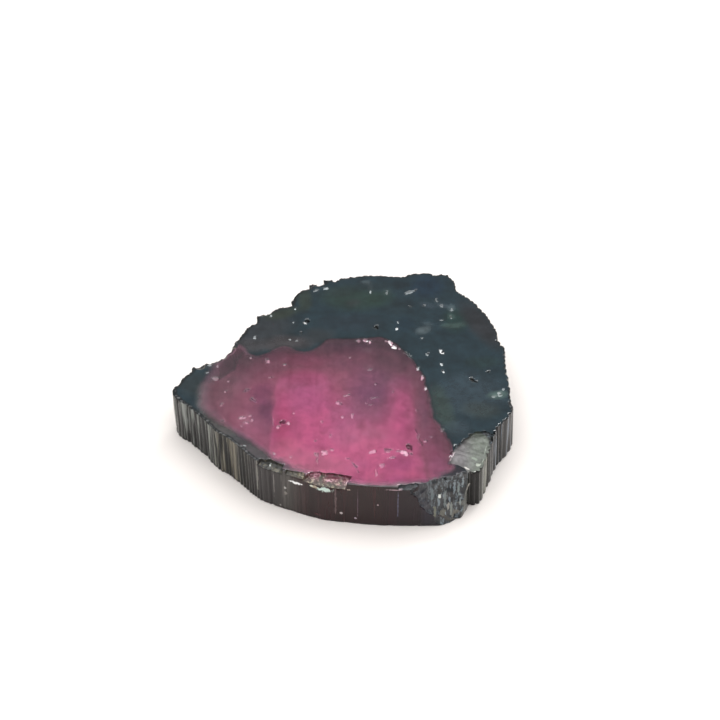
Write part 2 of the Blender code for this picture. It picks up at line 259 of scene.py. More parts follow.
        (8.95, -7.72, 0.7, 0.12, 48, 0.12, -0.9), (9.5, -7.05, 0.45, 0.12, 40, 0.12, -0.85),
    ],
    # colour zones: an outline's third value is how wide its border is there
    # stains: x, y, length, width, turn, colour, strength
    "rimColour": "#1B2E36",
    "rimStains": [
        (-6.5, 5, 8, 5.5, 50, "#2E3236", 0.9), (-11.5, -1.2, 3, 4, 0, "#2B3538", 0.8),
        (-5, 7.4, 4, 1.8, 20, "#2E372C", 0.8), (-3.2, 9.2, 1.6, 4, 0, "#2E372C", 0.7),
        (0.6, 9.4, 6.5, 4.2, -5, "#273B2F", 0.6), (0.7, 8.8, 1.6, 1.4, 0, "#313235", 0.5),
        (3, 9.2, 3.2, 2.8, 0, "#233A2E", 0.5), (0.5, 6.2, 7, 3, 0, "#202D36", 0.7),
        (6.8, 11, 3.6, 4, 0, "#132839", 0.8), (4.8, 6, 2, 2.6, 0, "#172D3A", 0.6),
        (8.9, 6.6, 2.6, 4.2, 0, "#1B3631", 0.7), (10.9, 6, 8.5, 2.8, -66, "#29282B", 0.8),
        (10.8, 1.3, 3.4, 2, 0, "#233735", 0.5), (9.8, -2.4, 7, 6.5, 0, "#32414A", 0.8),
        (7.5, -4, 2.2, 7, 12, "#34423C", 0.7), (10.4, -4.3, 4, 2.6, -10, "#373E39", 0.5),
        (8.6, -6.4, 2.4, 2.6, 0, "#35424A", 0.6), (1.8, 11.5, 1.1, 0.9, -20, "#5A656A", 0.6),
        (2.1, 10.8, 0.6, 1.5, 10, "#556165", 0.5), (3.4, 10.2, 0.9, 1.3, 0, "#40514C", 0.35),
        (6.7, 8.5, 1.9, 0.9, -15, "#3D4953", 0.5), (7.5, 9, 0.7, 1.1, 30, "#59666E", 0.1),
        (7.9, 8.4, 1.5, 0.6, -35, "#555F67", 0.35), (8.6, 8.1, 0.9, 1.4, -10, "#58656A", 0.5),
        (8.6, 7, 0.8, 1, 0, "#4E645F", 0.5), (6.3, 5.3, 1.6, 1.4, 35, "#5A666A", 0.7),
        (6.7, 6.1, 1.3, 0.6, -20, "#4A565C", 0.4), (8.7, 5.9, 2.6, 1, 8, "#4B5D58", 0.5),
        (11.8, -2.5, 2, 1.3, 15, "#617971", 0.6),
        # grey olive along the border of the pink, on the left and in front
        (-10.3, -3, 2.3, 4.8, 8, "#676A6A", 0.9), (-9.4, -5.9, 5.5, 2.1, -48, "#4E4D4B", 0.9),
        (-6.4, -8.9, 6.5, 2, -40, "#494647", 0.9), (-2.6, -11.5, 6.5, 1.8, -18, "#806C74", 0.9),
        (2.6, -12.6, 8, 1.8, 0, "#87767A", 0.9), (7.4, -11.6, 3.4, 2, 30, "#3C3A41", 0.9),
        (8.4, -10.9, 1.8, 1.8, 0, "#302E35", 0.9), (-9.6, 2, 4, 2.6, 52, "#5D5659", 0.8),
        (4.4, 8.3, 3.2, 3, 0, "#1A2A30", 0.8), (-4.4, 3.7, 5.6, 2.5, 5, "#3E3A3C", 0.9),
        (-7.4, 3.4, 3.4, 2.4, 0, "#3C3B3E", 0.9), (-2, 4.6, 3.4, 2.6, 0, "#30363A", 0.8),
        (4.6, 11.2, 2, 1.6, 0, "#0F1B22", 0.7), (2.2, 10.9, 5, 1.8, 0, "#1B2A2E", 0.6),
        (-0.4, 10.2, 3, 1.6, 0, "#232F30", 0.5),
    ],
    # the pink that grew first
    "heartOutline": [
        (-10.4, -2.7, 0.8), (-10.3, -1.5, 0.85), (-9.9, -0.2, 0.8), (-9.5, 1.2, 0.65), (-9, 2.3, 0.55),
        (-8.5, 3.1, 0.5), (-8, 2.9, 0.4), (-7.6, 2.3, 0.3), (-6.9, 2.05, 0.25), (-6.2, 2.2, 0.2),
        (-5.6, 2.8, 0.22), (-5, 3.05, 0.25), (-4.3, 3.1, 0.25), (-3.5, 2.6, 0.25), (-2.7, 2.7, 0.22),
        (-2.1, 3.1, 0.18), (-1.6, 3.6, 0.15), (-1.2, 4.1, 0.14), (-0.5, 4.2, 0.14), (0.6, 4.2, 0.12),
        (2, 4.35, 0.12), (3.1, 4.3, 0.12), (3.8, 3.9, 0.12), (4.5, 3.1, 0.12), (5.1, 2.1, 0.12),
        (5.6, 1.1, 0.14), (6.1, 0, 0.14), (6.3, -1.2, 0.15), (6.5, -2.6, 0.22), (6.6, -4, 0.25),
        (6.8, -5.2, 0.25), (7.2, -6.1, 0.25), (7.7, -7.1, 0.2), (7.95, -8.2, 0.2), (8.05, -9.4, 0.25),
        (7.85, -10.7, 0.4), (7, -11.35, 0.45), (6.1, -11.8, 0.45), (5, -11.95, 0.45), (4, -12.1, 0.45),
        (2.5, -12.25, 0.5), (0.8, -12, 0.55), (-1, -11.6, 0.55), (-2.6, -10.95, 0.55), (-3.9, -10.05, 0.55),
        (-5, -9.2, 0.5), (-5.9, -8.45, 0.5), (-6.7, -7.55, 0.5), (-7.6, -6.7, 0.55), (-8.5, -5.9, 0.6),
        (-9.35, -5, 0.7), (-10, -4.1, 0.8), (-10.3, -3.3, 0.8),
    ],
    "heartColour": "#D093AC",
    "heartStains": [
        (2.2, -1.4, 5.2, 5.6, 0, "#B585A9", 0.9), (3.4, 2.2, 6, 4.6, -25, "#AD8598", 0.9),
        (0.5, 3.2, 5, 2.4, 0, "#AA7B98", 0.7), (-3.2, 1.7, 4.8, 2.6, -5, "#E587AC", 0.9),
        (-5.5, 2.2, 2.6, 2, 0, "#C17698", 0.6), (-9.3, -1.5, 3.4, 5.5, -20, "#BC99A5", 0.7),
        (-8.2, 1.4, 3.6, 2.8, 30, "#AE8D9C", 0.9), (-6.2, -2.2, 2.4, 3.4, -30, "#A87298", 0.9),
        (-5.8, -4, 1.6, 5, 8, "#AA769A", 0.8), (-7, -6.6, 3.2, 4, -40, "#E3A3C2", 0.9),
        (-7.3, -5.4, 1.6, 1.4, 0, "#F5BCD5", 0.7), (-6, -8.2, 2, 1.8, 0, "#DC99BA", 0.6),
        (6.7, -8.6, 2.2, 6.5, 8, "#CC86A9", 0.8), (7, -10.6, 2, 2.8, 0, "#E79AC6", 0.7),
        (6.1, -4, 1.3, 6, 3, "#B88FAB", 0.6), (-7.36, -2, 0.9, 0.5, 0, "#874C75", 0.6),
        (-6.84, -3.2, 1.1, 0.5, -40, "#874C75", 0.5), (1.8, 0.7, 1.2, 0.9, 0, "#D9ACC2", 0.5),
        (1.9, 2.9, 1.2, 0.6, -25, "#C6A6B5", 0.5),
    ],
    # a brighter pink, between two straight edges that run to the front
    "windowOutline": [
        (-5.15, -1.1, 0.14), (-4.9, -0.6, 0.4), (-4.2, -0.1, 0.5), (-3.4, 0.3, 0.6), (-2.4, 0.4, 0.7),
        (-1.6, 0.1, 0.8), (-0.9, -0.8, 0.8), (-0.4, -1.9, 0.8), (0.2, -2.9, 0.8), (0.9, -4.1, 0.9),
        (1.8, -5.2, 0.9), (2.7, -5.2, 0.9), (3.3, -4, 0.8), (3.6, -2.6, 0.8), (3.8, -1.2, 0.7),
        (4.3, -0.3, 0.6), (4.9, -0.4, 0.5), (5.15, -1.6, 0.35), (5.3, -3.4, 0.3), (5.45, -5.2, 0.25),
        (5.6, -7, 0.2), (5.8, -9, 0.2), (5.95, -11, 0.2), (6, -13.5, 0.2), (0, -14.5, 0.3),
        (-4.5, -12.5, 0.3), (-5.6, -10.5, 0.25), (-5.45, -8.6, 0.18), (-5.3, -6, 0.11), (-5.25, -3.5, 0.11),
    ],
    "windowColour": "#EE95C1",
    "windowStains": [
        (-4.6, -5.2, 1.7, 8, 0, "#E67DAD", 0.7), (-2.8, -1.2, 4.6, 3.6, 0, "#D991C5", 0.6),
        (-2.5, -10, 8.5, 3.6, -15, "#FBBCD3", 0.8), (-4.1, -8.4, 2.8, 2.6, 20, "#F9B0CA", 0.8),
        (1.2, -7.2, 5.8, 3.6, 0, "#FDADD0", 0.8), (4.2, -10.2, 3, 2.2, 0, "#D282B6", 0.8),
        (4.5, -4.5, 1.5, 7, 3, "#EB8DBD", 0.6), (0.2, -5, 3.4, 4.2, -20, "#D99DC2", 0.6),
        (5, -11.5, 1.8, 1.5, 0, "#F592B7", 0.5), (2.3, -11.6, 1.5, 1.8, 0, "#FCBACC", 0.3),
        (1.3, -10.3, 2, 1.4, 0, "#CA8DB6", 0.6), (-0.9, -1.8, 0.6, 1.3, 0, "#B875A0", 0.6),
    ],
    # the ribs' crests, painted lighter as highlight, and the smooth front's own colour
    "sidesColour": "#7A7D77",
    "sidesStains": [
        (-12.3, -4.6, 4.5, 4, -50, "#959A96", 0.8), (-8.6, -8.3, 5.5, 3.8, -48, "#756C5A", 0.8),
        (-5.8, -10.2, 4.6, 3.4, -35, "#393334", 0.95), (1.6, -12.6, 18, 6.5, -2, "#2C1416", 1),
        (0.5, -12.5, 15, 5, -4, "#2E1517", 1), (5.2, -12.8, 5, 3, 2, "#25111B", 0.9),
        (6.6, -12.8, 2.4, 2, 0, "#272330", 0.8), (10.9, -8.9, 2.2, 2, 60, "#85877A", 0.9),
        # (9.7, -10.5): near black, painted shade on the wall below the scar
        (12.2, -5.2, 6, 3, 66, "#727E8C", 0.9), (9.7, -10.5, 2.3, 2, 50, "#110F0E", 1),
        (11.2, -7.7, 1.3, 1.6, 60, "#4B4C55", 0.8), (12.8, 0.5, 3, 8, 0, "#656C70", 0.8),
        (-2, 9, 34, 17, 0, "#4E5452", 0.8),
    ],
    # the body colour under the crushed specks
    "breaksColour": "#1E2227",
    "breaksStains": [
        (-1.6, -11.6, 8.5, 3.6, -12, "#342D1E", 1), (-5.2, -10.2, 3.4, 2.4, -35, "#2C2D28", 1),
        (6, -12.8, 2.4, 1.6, 0, "#262430", 0.9), (7.3, -12.9, 2, 1.2, 0, "#26282A", 0.6),
        (9.2, -11.2, 1, 1.4, 0, "#15191C", 0.8),
    ],
    # small marks on the sides and breaks: x, y, z, length, width, height, turn, colour
    "marks": [
        # painted glints as highlight, and crushed spots, along the flakes
        (-3.41, -11.3, 3.05, 0.92, 1.2, 0.26, -25, "#FFFFFF"),
        (-1.95, -11.9, 3.16, 0.7, 1.2, 0.26, -14, "#A99C88"),
        (-1.32, -12.1, 3.1, 1.2, 1.2, 0.42, -14, "#D3E6DD"),
        (-2.25, -11.8, 3.18, 0.3, 0.9, 0.18, -14, "#D5D8C8"), (-1.1, -11.7, 3.6, 1, 0.4, 0.2, -10, "#DBA6B4"),
        (-2.1, -11.3, 3.65, 0.6, 0.4, 0.16, -10, "#C98FA0"),
        (0.35, -11.9, 3.6, 0.55, 0.3, 0.3, 45, "#EBC3CE"), (0.4, -12.2, 3.35, 0.5, 0.6, 0.12, -5, "#B9A79A"),
        (-0.2, -11.8, 3.4, 0.4, 0.5, 0.14, -5, "#B98C8C"),
        (-5.32, -10.05, 3.72, 0.44, 0.5, 0.42, -20, "#E2E8E4"),
        (-4.9, -10.5, 3.7, 1.1, 0.8, 0.14, -30, "#646A68"), (3.7, -12.76, 3.62, 1.3, 0.6, 0.09, 0, "#A88E96"),
        # growth lines and dust on the smooth front
        (-0.51, -12.3, 2.1, 0.15, 0.6, 2.8, -8, "#5C4A4B"), (1.11, -12.53, 1.9, 0.06, 0.6, 2.4, 0, "#5E4A56"),
        (4.05, -12.76, 2.2, 0.09, 0.6, 2.4, 0, "#575568"),
        (-5.07, -10.6, 2.3, 0.09, 0.6, 2.4, -40, "#706B68"),
        (-6.33, -9.84, 2.3, 0.12, 0.6, 3, -45, "#85837D"),
        (-0.08, -12.35, 0.92, 0.24, 0.6, 0.2, 0, "#B8AEAE"),
        (0.94, -12.5, 0.55, 0.17, 0.6, 0.17, 0, "#B0A0AC"), (-4.2, -11, 2.2, 0.22, 0.6, 0.22, -35, "#BFBBB7"),
        (-4.2, -11, 1.68, 0.22, 0.6, 0.34, -35, "#847E78"),
        (-4.6, -10.8, 0.3, 0.2, 0.6, 0.17, -35, "#A09C98"),
        (2.58, -12.7, 2.07, 0.15, 0.6, 0.15, 0, "#A8949A"),
        (-1.87, -12, 0.42, 0.6, 0.6, 0.22, -15, "#46282B"),
        # the corner: a hole painted near black as its shade, with a white spot under it, splinters, crushed
        # grit near the floor
        (7.08, -12.75, 2.85, 0.46, 2.6, 0.8, 0, "#07080A"),
        (7.12, -12.73, 2.34, 0.28, 2.6, 0.34, 0, "#DDE2DC"), (8.02, -12.3, 2, 0.26, 2.6, 1.7, 0, "#0C0E11"),
        (8.22, -12.15, 2.75, 0.26, 2.6, 1.3, 0, "#7B878E"), (8.82, -11.8, 3.05, 0.22, 2.6, 1.4, 0, "#7E8A90"),
        (8.52, -11.95, 2.3, 0.2, 2.6, 1.2, 0, "#75807F"), (9.25, -11, 2.1, 0.24, 2.6, 0.3, 0, "#B2AEA6"),
        (6.75, -12.8, 1.3, 0.24, 2.6, 0.8, 0, "#6E6E62"), (7.35, -12.6, 1, 0.36, 2.6, 0.6, 0, "#6C6A62"),
        (7.75, -12.45, 1.35, 0.26, 2.6, 0.5, 0, "#8E8C84"), (8.3, -12.05, 0.55, 0.6, 2.6, 0.5, 0, "#6C6A62"),
        (7.52, -12.55, 2.1, 0.24, 2.6, 1.3, 0, "#6C7575"), (8, -12.25, 1, 0.22, 2.6, 0.9, 0, "#7C817C"),
        (8.65, -11.9, 1.4, 0.16, 2.6, 0.8, 0, "#8A9292"), (6.55, -12.6, 2.6, 0.2, 2.6, 1.1, 0, "#5E6A6E"),
        (9.05, -11.4, 3, 0.2, 1.6, 0.9, 0, "#2A3033"),
        # painted highlights along the edges of the scar
        (8.05, -9.15, 3.75, 1.3, 0.14, 1, 65, "#EFDDE2"), (9.65, -10.5, 3.6, 0.9, 0.09, 0.6, 14, "#E6E9E2"),
        (10.6, -8.2, 3.5, 0.8, 0.08, 1, 78, "#868F83"), (10.34, -9.4, 3.5, 0.5, 0.08, 1, 74, "#949C8F"),
        (10, -9.8, 3.5, 0.4, 0.3, 1, 30, "#A9AFA2"), (9.7, -9.2, 3.5, 0.5, 0.26, 1, -30, "#7F8A7C"),
        (9.1, -10.2, 3.6, 0.4, 0.14, 1, -30, "#C8C4BE"),
    ],
    # the pale shallow chip at the front right
    "scarOutline": [
        (7.8, -9.7, 0.1), (8.1, -8.85, 0.1), (8.65, -8.1, 0.1), (9.3, -7.4, 0.1), (9.75, -6.85, 0.1),
        (10.2, -6.65, 0.1), (10.8, -7.3, 0.1), (10.75, -8.6, 0.1), (10.4, -9.7, 0.1), (10.3, -10.4, 0.1),
        (9.5, -10.9, 0.1), (8.9, -10.5, 0.1), (8.1, -10.05, 0.1),
    ],
}


# which surface a face belongs to; the first three also have the slab's materials, in this order
sawn, grown, broken, pitted = range(4)


def faceKind(face, tree):
    middle = face.calc_center_median()
    near = slab["sawnWithin"] * mm
    if abs(face.normal.z) > 0.99 and (middle.z > slabTop - near or middle.z < near):
        return sawn
    fromOutline = tree.find(Vector((middle.x, middle.y, 0)))[2]
    if abs(face.normal.z) < slab["steepest"] and fromOutline < slab["sideWithin"] * mm:
        return grown
    return broken


def sliceAt(work, faces, direction, places):
    # straight cuts through some faces, square to one axis
    geometry = set(faces)
    for place in places:
        parts = geometry | {e for f in geometry for e in f.edges} | {v for f in geometry for v in f.verts}
        made = bmesh.ops.bisect_plane(work, geom=list(parts), dist=0.001 * mm,
                                      plane_co=direction * place * mm, plane_no=direction)
        geometry = {g for g in made["geom"] if isinstance(g, bmesh.types.BMFace)}


def refineBroken(work, kinds):
    # broken faces need the finest mesh, so that their relief is real
    for _ in range(4):
        faces = [f for f in work.faces if f[kinds] == broken]
        long = {e for f in faces for e in f.edges if e.calc_length() > slab["brokenEdge"] * mm}
        if not long:
            break
        bmesh.ops.subdivide_edges(work, edges=list(long), cuts=1)
        bmesh.ops.triangulate(work, faces=[f for f in work.faces if len(f.verts) > 4])
    print("broken faces refined:", sum(f[kinds] == broken for f in work.faces))


def smoothFront(x, y):
    # 1 on the smooth stretch of the sides at the front, 0 on the ribbed rest
    (fromX, fromY), (overX, overY) = slab["smoothFrom"], slab["smoothOver"]
    return min(max((x - fromX) / overX, 0), 1) * min(max((fromY - y) / overY, 0), 1)


def knobHeight(place):
    return sum(height * max(0.0, 1.0 - ((place.x - x) ** 2 + (place.y - y) ** 2) / radius ** 2) ** 2
               for x, y, radius, height in slab["knobs"])


def softenFlakes(work, kinds):
    # a flake leaves a shell-shaped hollow, with no sharp inner corner
    inner = [v for v in work.verts
             if v.co.x < slab["cornerStart"] * mm and all(f[kinds] == broken for f in v.link_faces)]
    for _ in range(slab["flakeSoftening"]):
        bmesh.ops.smooth_vert(work, verts=inner, factor=0.5,
                              use_axis_x=True, use_axis_y=True, use_axis_z=True)
    print("flakes softened:", len(inner), "points")


def ragBreaks(work, kinds):
    # pulls the borders between sawn and broken faces about, and a little of what lies next to them
    kindsMet = {v: {f[kinds] for f in v.link_faces} for v in work.verts}
    border = [v.co.copy() for v, met in kindsMet.items() if met == {sawn, broken}]
    tree = KDTree(len(border))
    for i, place in enumerate(border):
        tree.insert(place, i)
    tree.balance()
    for vert, met in kindsMet.items():
        distance = tree.find(vert.co)[2] / mm
        share = min(max((slab["raggedReach"] - distance) / slab["raggedFade"], 0), 1)
        if share == 0.0 or grown in met:
            continue
        spot = Vector((vert.co.x, vert.co.y, 0)) / (slab["raggedGrain"] * mm)
        aside = fractal(spot, 2), fractal(spot + Vector((0, 0, 9)), 2), 0.0
        pull = Vector(aside) * slab["raggedEdge"]
        out = vert.co / mm - Vector(slab["scarMiddle"])
        if out.length < slab["scarReach"]:
            pull += Vector((out.x, out.y, 0)).normalized() * slab["scarSpread"]
        vert.co += pull * share * mm
    print("borders of the breaks made ragged:", len(border), "points")


def roughenSlab(work, kinds):
    # ribs and knobs on the sides, grit and flutes on the breaks, nibbles along the rims
    work.normal_update()
    ribs = work.verts.layers.float.new("rib")
    moves = {}
    for vert in work.verts:
        met = {f[kinds] for f in vert.link_faces}
        out = vert.normal.copy()
        place = vert.co / mm
        if grown in met:
            grain = Vector((place.x, place.y, place.z / 9)) / slab["ribWidth"]
            vert[ribs] = fractal(grain, 2) + 0.3 * noise.noise(grain * 3.1)
        if met == {grown}:
            out.z = 0.0
            smooth = smoothFront(place.x, place.y)
            depth = slab["ribDepth"] + (slab["smoothRibDepth"] - slab["ribDepth"]) * smooth
            amount = depth * vert[ribs] + knobHeight(place)
        elif met == {broken}:
            amount = slab["brokenRoughness"] * (fractal(place / slab["brokenGrain"]) - 0.6)
            if place.x > slab["cornerStart"] and out.z < 0.5:
                flutes = Vector((place.x, place.y, place.z / 4)) / (slab["brokenGrain"] * 1.6)
                amount += slab["cornerFlutes"] * (fractal(flutes, 2) - 0.5)
        elif len(met) > 1 and sawn in met:
            if place.z < 0.01:
                out.z = 0.0
            if grown in met:
                depth = slab["ribDepth"] * (1 - smoothFront(place.x, place.y))
                push = depth * vert[ribs] + knobHeight(place)
                moves[vert] = Vector((out.x, out.y, 0)).normalized() * push * mm
            amount = -slab["rimWear"] * abs(fractal(place / slab["rimGrain"])) * 1.5
        else:
            continue
        moves[vert] = moves.get(vert, Vector()) + out.normalized() * amount * mm
    for vert, move in moves.items():
        vert.co += move
        vert.co.z = min(vert.co.z, slabTop)
    print("sides, rims and broken faces roughened:", len(moves), "points moved")


def finerSlab():
    # the slice's loose triangles are joined into whole faces first, then cut to an even mesh
    work = bmesh.new()
    work.from_mesh(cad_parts[slab["node"]].data)
    bmesh.ops.remove_doubles(work, verts=work.verts, dist=0.0005 * mm)
    bmesh.ops.dissolve_limit(work, angle_limit=math.radians(0.3), verts=work.verts, edges=work.edges)
    lowest = min(work.faces, key=lambda f: f.calc_center_median().z)
    ring = [v.co.xy / mm for v in lowest.verts]
    tree = KDTree(len(ring) * 2)
    for i, point in enumerate(ring):
        halfway = (point + ring[i - 1]) / 2
        tree.insert((point.x * mm, point.y * mm, 0.0), 2 * i)
        tree.insert((halfway.x * mm, halfway.y * mm, 0.0), 2 * i + 1)
    tree.balance()
    kinds = work.faces.layers.int.new("kind")
    for face in work.faces:
        face[kinds] = faceKind(face, tree)
    height = slabTop / mm
    layers = list(np.arange(slab["layerStep"], height - slab["layerStep"] * 0.5, slab["layerStep"]))
    layers += [height - drop for drop in slab["rimLayers"]] + [slab["rimLayers"][0]]
    sliceAt(work, work.faces, Vector((0, 0, 1)), layers)
    low, high = (corner / mm for corner in cadBox)
    for sign, step in ((1, slab["topStep"]), (-1, slab["bottomStep"])):
        for axis in (0, 1):
            direction = Vector((1 - axis, axis, 0))
            flat = [f for f in work.faces if f[kinds] == sawn and f.normal.z * sign > 0.5]
            sliceAt(work, flat, direction, np.arange(low[axis], high[axis], step)[1:])
    print("slab cut to a grid:", len(work.faces), "faces")
    refineBroken(work, kinds)
    softenFlakes(work, kinds)
    ragBreaks(work, kinds)
    roughenSlab(work, kinds)
    bmesh.ops.triangulate(work, faces=work.faces)
    return work, np.array([tuple(point) for point in ring])


def addBowl(work, kinds, tones, place, size, turn, tone):
    made = bmesh.ops.create_icosphere(work, subdivisions=2, radius=1.0)["verts"]
    for vert in made:
        vert.co *= 1 + 0.4 * fractal(vert.co * 1.4 + Vector((place[0] * 7.3, place[1] * 7.3, 0)), 2)
        for face in vert.link_faces:
            face[kinds] = pitted
            face[tones] = tone
    bmesh.ops.scale(work, verts=made, vec=Vector(size) * mm / 2)
    bmesh.ops.rotate(work, verts=made, matrix=Matrix.Rotation(turn, 3, "Z"))
    bmesh.ops.translate(work, verts=made, vec=(place[0] * mm, place[1] * mm, slabTop))


def pitCutters():
    # each pit is a few rough little bowls that overlap, so they go into separate meshes, as do
    # those of the next pit in the table
    most = slab["mostBowls"]
    works = []
    for _ in range(2 * most):
        work = bmesh.new()
        works.append((work, work.faces.layers.int.new("kind"), work.faces.layers.float.new("tone")))
    chance = random.Random(slab["pitSeed"])
    for i, (x, y, length, width, turn, depth, tone) in enumerate(slab["pits"]):
        bowls = 1 + int(length * width / slab["bowlArea"]) + int(length / width / slab["bowlLength"])
        bowls = min(bowls, most)
        share = {1: 1.0, 2: 0.75, 3: 0.62}.get(bowls, 0.52)
        a = math.radians(turn)
        for bowl in range(bowls):
            along = (1 - share) * 0.55 * length * (chance.uniform(-1.0, 1.0) if bowls > 1 else 0.0)
            across = (1 - share) * 0.75 * width * (chance.uniform(-1.0, 1.0) if bowls > 1 else 0.0)
            place = (x + along * math.cos(a) - across * math.sin(a),
                     y + along * math.sin(a) + across * math.cos(a))
            size = (length * share * chance.uniform(0.9, 1.25), width * share * chance.uniform(1.0, 1.5),
                    2.0 * depth * chance.uniform(0.7, 1.1))
            bowlTone = tone * chance.uniform(0.8, 1.05) if bowl == 0 else tone * chance.uniform(0.6, 1.05)
            if bowl > 0 and tone > 0.3 and chance.random() < 0.15:
                bowlTone = -0.5
            addBowl(*works[bowl + most * (i % 2)], place, size, a + chance.uniform(-0.4, 0.4), bowlTone)
    return [newPiece("pitCutter", work) for work, _, _ in works]


def sinkPits(piece):
    for cutter in pitCutters():
        boolean = piece.modifiers.new("pits", "BOOLEAN")
        boolean.operation = "DIFFERENCE"
        boolean.solver = "MANIFOLD"
        boolean.object = cutter
        evaluated = piece.evaluated_get(bpy.context.evaluated_depsgraph_get())
        cut = bpy.data.meshes.new_from_object(evaluated)
        piece.modifiers.clear()
        piece.data = cut
        bpy.data.objects.remove(cutter)
    work = bmesh.new()
    work.from_mesh(cut)
    bmesh.ops.triangulate(work, faces=work.faces)
    loose = sum(not e.is_manifold for e in work.edges)
    work.to_mesh(cut)
    work.free()
    cut.shade_smooth()
    cut.set_sharp_from_angle(angle=math.radians(slab["sharpAngle"]))
    print("pits sunk:", len(slab["pits"]), "edges not shared by two faces:", loose)


def storeValues(mesh, name, domain, values):
    attribute = mesh.attributes.new(name, "FLOAT", domain)
    attribute.data.foreach_set("value", np.asarray(values, np.float32))


def stainedColours(places, zone):
    # the zone's colour at each place, with its soft stains laid over it in turn
    colours = np.tile(toLinear(slab[zone + "Colour"]), (len(places), 1))
    for x, y, length, width, turn, hexColour, strength in slab[zone + "Stains"]:
        a = math.radians(turn)
        gap = places - (x, y)
        u = (gap[:, 0] * math.cos(a) + gap[:, 1] * math.sin(a)) / (length / 2)
        v = (gap[:, 1] * math.cos(a) - gap[:, 0] * math.sin(a)) / (width / 2)
        reach = np.clip(1 - u * u - v * v, 0, 1)
        share = strength * reach * reach * (3 - 2 * reach)
        colours += (np.array(toLinear(hexColour)) - colours) * share[:, None]
    return colours


def paintZones(mesh, ring):
    count = len(mesh.vertices)
    co = np.zeros(count * 3, np.float32)
    mesh.vertices.foreach_get("co", co)
    places = co.reshape(-1, 3)[:, :2].astype(float) / mm
    deep = co.reshape(-1, 3)[:, 2] < slabTop / 2      # seen through the slab, borders look softer
    strayed = places.copy()
    for i, (x, y) in enumerate(places):
        spot = Vector((x, y, 0)) / slab["wanderGrain"]
        strayed[i, 0] += slab["wander"] * fractal(spot, 4)
        strayed[i, 1] += slab["wander"] * fractal(spot + Vector((0, 0, 7)), 4)
    for name in ("rim", "heart", "window", "sides", "breaks"):
        attribute = mesh.attributes.new(name + "Tint", "FLOAT_COLOR", "POINT")
        attribute.data.foreach_set("color", stainedColours(strayed, name).astype(np.float32).ravel())
    for name in ("heart", "window", "scar"):
        inside, softness = loopDistance(strayed, smoothLoop(slab[name + "Outline"], 5))
        wider = slab["deepHeart"] if name == "heart" else slab["deepOthers"]
        lean = slab["lean"] * deep if name == "heart" else 0.0
        depth = (inside + lean) / (softness + deep * wider)
        storeValues(mesh, name, "POINT", depth)
        if name == "heart":
            soft = np.clip((softness - slab["crispBorder"]) * 5, 0, 1)
            storeValues(mesh, "rose", "POINT", depth + slab["roseEarly"] * soft)
    storeValues(mesh, "edge", "POINT", loopDistance(places, ring)[0])
    kinds = np.zeros(len(mesh.polygons), np.int32)
    mesh.attributes["kind"].data.foreach_get("value", kinds)
    storeValues(mesh, "pit", "FACE", kinds == pitted)
    mesh.polygons.foreach_set("material_index", np.where(kinds == pitted, sawn, kinds).astype(np.int32))
    print("colour zones laid on", count, "points,", len(mesh.polygons), "triangles")


def addMarks(add, place, colour):
    # lays the slab's marks over a colour, each a rounded patch with a ragged border
    ragged = add("TexNoise", {"Vector": place, "Scale": 5, "Detail": 3})
    for x, y, z, length, width, height, turn, hexColour in slab["marks"]:
        near = add("Mapping", {"Vector": place, "Location": (x, y, z),
                               "Rotation": (0, 0, math.radians(turn)),
                               "Scale": (length / 2, width / 2, height / 2)}, vector_type="TEXTURE")
        far = add("VectorMath", {0: near}, "Value", operation="LENGTH")
        far = add("Math", {0: ragged, 1: 2.4, 2: far}, operation="MULTIPLY_ADD")
        share = add("MapRange", {"Value": far, "From Min": 2.35, "From Max": 1.95}, **eased)
        colour = add("Mix", {0: share, 6: colour, 7: hexColour}, **mixed)
    return colour


